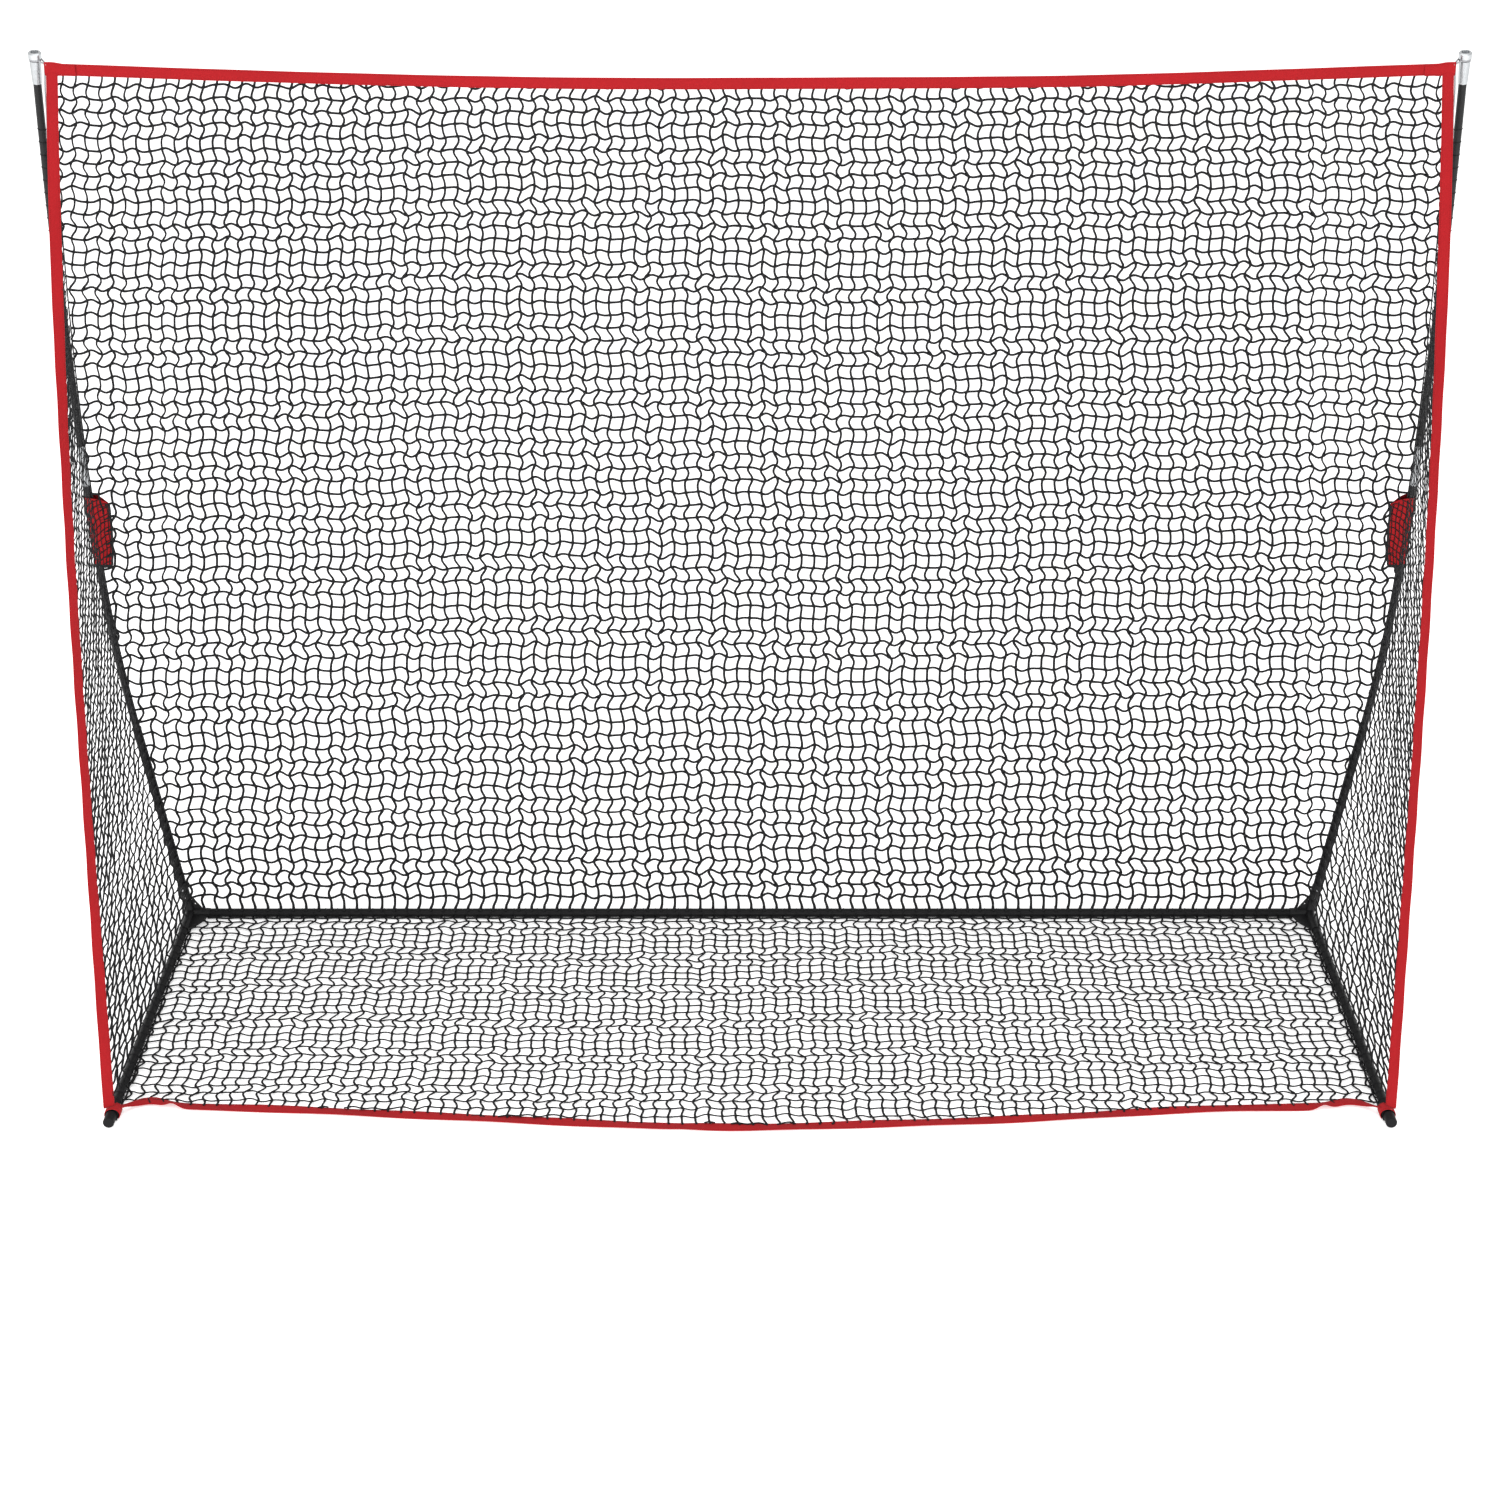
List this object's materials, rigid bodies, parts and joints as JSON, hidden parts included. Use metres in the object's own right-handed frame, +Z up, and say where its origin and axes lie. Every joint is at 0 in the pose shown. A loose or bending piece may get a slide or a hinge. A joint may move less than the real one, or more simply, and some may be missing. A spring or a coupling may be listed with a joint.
{
  "type": "pitching target net",
  "caption": "Free-standing bow-pole practice net: a U of tube on the ground, two bowed poles and a mesh bag with a floor, bound in webbing.",
  "frame": {"origin": "on the ground, in the middle of the whole net's width and depth", "axes": "+X to the right, seen from the open front; +Y to the back, away from the pitcher; +Z up"},
  "size_m": [3.2096, 1.0752, 2.2129],
  "materials": {
    "black_tube": "satin",
    "black_plastic": "matte",
    "black_sleeve": "satin",
    "black_cap": "matte",
    "rivet_steel": "satin",
    "button_steel": "polished",
    "spring_steel": "satin",
    "fibreglass": "satin",
    "ferrule_aluminium": "satin",
    "tip_aluminium": "satin",
    "cap_aluminium": "satin",
    "mesh": "matte",
    "red_webbing": "matte",
    "red_pouch": "matte",
    "silver_elastic": "satin",
    "black_elastic": "matte"
  },
  "bodies": {
    "frame": {"bottom_loop_left": "black_elastic", "bottom_loop_right": "black_elastic", "connector_rivets_left": "rivet_steel", "connector_rivets_right": "rivet_steel", "corner_connector_left": "black_plastic", "corner_connector_right": "black_plastic", "floor_hem": "red_webbing", "front_end_cap_left": "black_cap", "front_end_cap_right": "black_cap", "lower_pole_left": "fibreglass", "lower_pole_right": "fibreglass", "mid_ferrule_left": "ferrule_aluminium", "mid_ferrule_right": "ferrule_aluminium", "net_back_panel": "mesh", "net_floor_panel": "mesh", "net_side_panel_left": "mesh", "net_side_panel_right": "mesh", "pole_collar_left": "black_sleeve", "pole_collar_right": "black_sleeve", "pole_pouch_left": "red_pouch", "pole_pouch_right": "red_pouch", "rear_bar_inner_left": "black_tube", "rear_bar_inner_right": "black_tube", "rear_bar_outer_left": "black_tube", "rear_bar_outer_right": "black_tube", "rear_button_spring_left": "spring_steel", "rear_button_spring_right": "spring_steel", "side_bar_left": "black_tube", "side_bar_right": "black_tube", "side_button_spring_left": "spring_steel", "side_button_spring_right": "spring_steel", "side_tape_left": "red_webbing", "side_tape_right": "red_webbing", "tip_cap_left": "cap_aluminium", "tip_cap_right": "cap_aluminium", "tip_ferrule_left": "tip_aluminium", "tip_ferrule_right": "tip_aluminium", "top_loop_left": "silver_elastic", "top_loop_right": "silver_elastic", "top_tape": "red_webbing", "upper_pole_left": "fibreglass", "upper_pole_right": "fibreglass", "upright_bushing_left": "black_plastic", "upright_bushing_right": "black_plastic", "upright_tube_left": "black_tube", "upright_tube_right": "black_tube"},
    "rear_snap_button_left": {"rear_snap_button_left": "button_steel"},
    "rear_snap_button_right": {"rear_snap_button_right": "button_steel"},
    "side_snap_button_left": {"side_snap_button_left": "button_steel"},
    "side_snap_button_right": {"side_snap_button_right": "button_steel"}
  },
  "joints": [
    {"name": "rear_snap_button_left_press", "type": "slide", "parent": "frame", "child": "rear_snap_button_left", "axis": [0, -1, 0], "range_m": [0, 0.0032], "stiffness_N_per_m": 600, "deforming": ["rear_button_spring_left"]},
    {"name": "rear_snap_button_right_press", "type": "slide", "parent": "frame", "child": "rear_snap_button_right", "axis": [0, -1, 0], "range_m": [0, 0.0032], "stiffness_N_per_m": 600, "deforming": ["rear_button_spring_right"]},
    {"name": "side_snap_button_left_press", "type": "slide", "parent": "frame", "child": "side_snap_button_left", "axis": [1, 0, 0], "range_m": [0, 0.0032], "stiffness_N_per_m": 600, "deforming": ["side_button_spring_left"]},
    {"name": "side_snap_button_right_press", "type": "slide", "parent": "frame", "child": "side_snap_button_right", "axis": [-1, 0, 0], "range_m": [0, 0.0032], "stiffness_N_per_m": 600, "deforming": ["side_button_spring_right"]}
  ]
}
